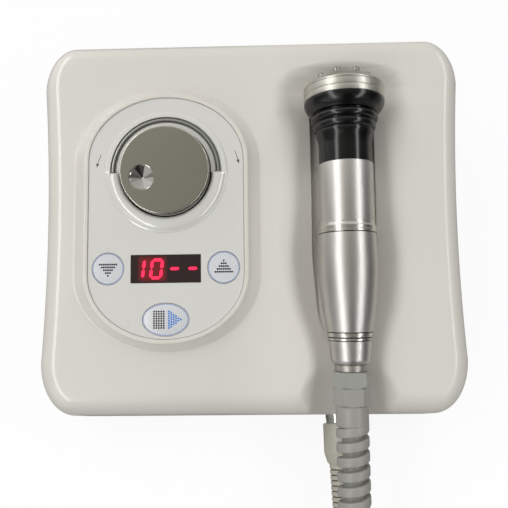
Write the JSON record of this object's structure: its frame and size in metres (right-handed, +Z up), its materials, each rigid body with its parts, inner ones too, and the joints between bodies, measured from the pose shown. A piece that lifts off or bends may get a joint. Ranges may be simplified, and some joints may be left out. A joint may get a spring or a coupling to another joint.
{
  "type": "facial toning device",
  "caption": "Desktop facial toning console with a sloping face, a press-and-turn dial, keys and a timer display, and a corded electrode handpiece lying in a scooped cradle.",
  "frame": {"origin": "bottom centre of the console, on the table under its feet, the cord and its plug left out", "axes": "+X to the right as the user faces the panel, +Y to the back where the power entry is, +Z up"},
  "size_m": [0.3044, 0.563, 0.1349],
  "materials": {
    "shell_white": "gloss, slightly warm white",
    "base_grey": "fine matt texture",
    "foot_rubber": "matt",
    "screw_steel": "plated",
    "overlay_white": "gloss label sheet",
    "ring_white": "high gloss",
    "arc_silver": "satin",
    "smoke_window": "dark smoked gloss",
    "led_black": "matt",
    "key_white": "gloss, faintly blue",
    "switch_black": "matt",
    "stem_brass": "plain",
    "dial_chrome": "mirror polish",
    "knob_white": "satin",
    "shaft_steel": "turned",
    "board_green": "solder mask",
    "ribbon_grey": "matt",
    "core_iron": "varnished laminations",
    "cap_blue": "printed sleeve",
    "sink_aluminium": "plain",
    "inlet_black": "fine matt",
    "rocker_red": "gloss",
    "fuse_glass": "clear with metal ends",
    "socket_chrome": "polished",
    "head_silver": "fine turned satin",
    "electrode_silver": "satin bright",
    "collar_black": "high gloss",
    "tube_silver": "satin with a fine grain",
    "ring_bright": "bright turned",
    "carrier_plastic": "plain",
    "seal_rubber": "matt",
    "gland_grey": "satin nylon",
    "plug_grey": "satin moulding",
    "pin_gold": "plated",
    "cord_grey": "satin sheath"
  },
  "bodies": {
    "console": {"upper_shell": "shell_white", "base_tray": "base_grey", "rubber_feet": "foot_rubber", "base_screws": "screw_steel", "panel_overlay": "overlay_white", "dial_ring": "ring_white", "level_arc": "arc_silver", "display_window": "smoke_window", "display_module": "led_black", "key_switches": "switch_black", "encoder_body": "switch_black", "control_board": "board_green", "board_screws": "screw_steel", "buzzer": "switch_black", "ribbon_cable": "ribbon_grey", "power_board": "board_green", "power_screws": "screw_steel", "transformer": "core_iron", "capacitors": "cap_blue", "heat_sink": "sink_aluminium", "mains_inlet": "inlet_black", "inlet_pins": "screw_steel", "inlet_screws": "screw_steel", "front_socket": "socket_chrome", "socket_nut": "screw_steel", "socket_insert": "switch_black", "plug_nose": "socket_chrome", "plug_pins": "pin_gold", "plug_body": "plug_grey", "cord_lead": "cord_grey", "cord_coil": "cord_grey", "cord_tail": "cord_grey"},
    "down_key": {"down_key": "key_white"},
    "up_key": {"up_key": "key_white"},
    "start_key": {"start_key": "key_white"},
    "down_stem": {"down_stem": "stem_brass"},
    "up_stem": {"up_stem": "stem_brass"},
    "start_stem": {"start_stem": "stem_brass"},
    "dial_spindle": {"encoder_rotor": "switch_black"},
    "dial": {"dial_cap": "dial_chrome", "dial_knob": "knob_white", "dial_shaft": "shaft_steel"},
    "dial_plunger": {"press_plunger": "stem_brass"},
    "handpiece": {"head_cap": "head_silver", "head_electrodes": "electrode_silver", "neck_collar": "collar_black", "front_tube": "tube_silver", "mid_ring": "ring_bright", "rear_barrel": "tube_silver", "tail_ring": "ring_bright", "tail_cap": "tube_silver", "core_carrier": "carrier_plastic", "handpiece_board": "board_green", "gland_washer": "seal_rubber", "gland_body": "gland_grey", "gland_seal": "seal_rubber", "gland_nut": "gland_grey"},
    "power_rocker": {"power_rocker": "rocker_red"},
    "fuse_drawer": {"fuse_drawer": "inlet_black", "fuse": "fuse_glass"}
  },
  "joints": [
    {"name": "dial_turn", "type": "hinge", "parent": "console", "child": "dial_spindle", "pos_m": [-0.0588, 0.03326, 0.08902], "axis": [0, 0.2079, -0.9781], "range_deg": [0, 218]},
    {"name": "dial_press", "type": "slide", "parent": "dial_spindle", "child": "dial", "axis": [0, 0.2079, -0.9781], "range_m": [0, 0.0008], "stiffness_N_per_m": 2000, "springref_m": -0.0016},
    {"name": "dial_plunger_slide", "type": "slide", "parent": "console", "child": "dial_plunger", "axis": [0, 0.2079, -0.9781], "range_m": [0, 0.0008]},
    {"name": "down_key_press", "type": "slide", "parent": "console", "child": "down_key", "axis": [0, 0.2079, -0.9781], "range_m": [0, 0.0005], "stiffness_N_per_m": 800, "springref_m": -0.001},
    {"name": "up_key_press", "type": "slide", "parent": "console", "child": "up_key", "axis": [0, 0.2079, -0.9781], "range_m": [0, 0.0005], "stiffness_N_per_m": 800, "springref_m": -0.001},
    {"name": "start_key_press", "type": "slide", "parent": "console", "child": "start_key", "axis": [0, 0.2079, -0.9781], "range_m": [0, 0.0005], "stiffness_N_per_m": 800, "springref_m": -0.001},
    {"name": "down_stem_slide", "type": "slide", "parent": "console", "child": "down_stem", "axis": [0, 0.2079, -0.9781], "range_m": [0, 0.0005]},
    {"name": "up_stem_slide", "type": "slide", "parent": "console", "child": "up_stem", "axis": [0, 0.2079, -0.9781], "range_m": [0, 0.0005]},
    {"name": "start_stem_slide", "type": "slide", "parent": "console", "child": "start_stem", "axis": [0, 0.2079, -0.9781], "range_m": [0, 0.0005]},
    {"name": "handpiece_lift", "type": "slide", "parent": "console", "child": "handpiece", "axis": [0, -0.2079, 0.9781], "range_m": [0, 0.07], "deforming": ["cord_lead"]},
    {"name": "rocker_tilt", "type": "hinge", "parent": "console", "child": "power_rocker", "pos_m": [-0.095, 0.1305, 0.0595], "axis": [0, 0, 1], "range_deg": [0, 14]},
    {"name": "fuse_drawer_slide", "type": "slide", "parent": "console", "child": "fuse_drawer", "axis": [0, 1, 0], "range_m": [0, 0.018]}
  ],
  "couplings": [
    {"joint": "dial_plunger_slide", "follows": "dial_press", "ratio": 1},
    {"joint": "down_stem_slide", "follows": "down_key_press", "ratio": 1},
    {"joint": "up_stem_slide", "follows": "up_key_press", "ratio": 1},
    {"joint": "start_stem_slide", "follows": "start_key_press", "ratio": 1}
  ]
}
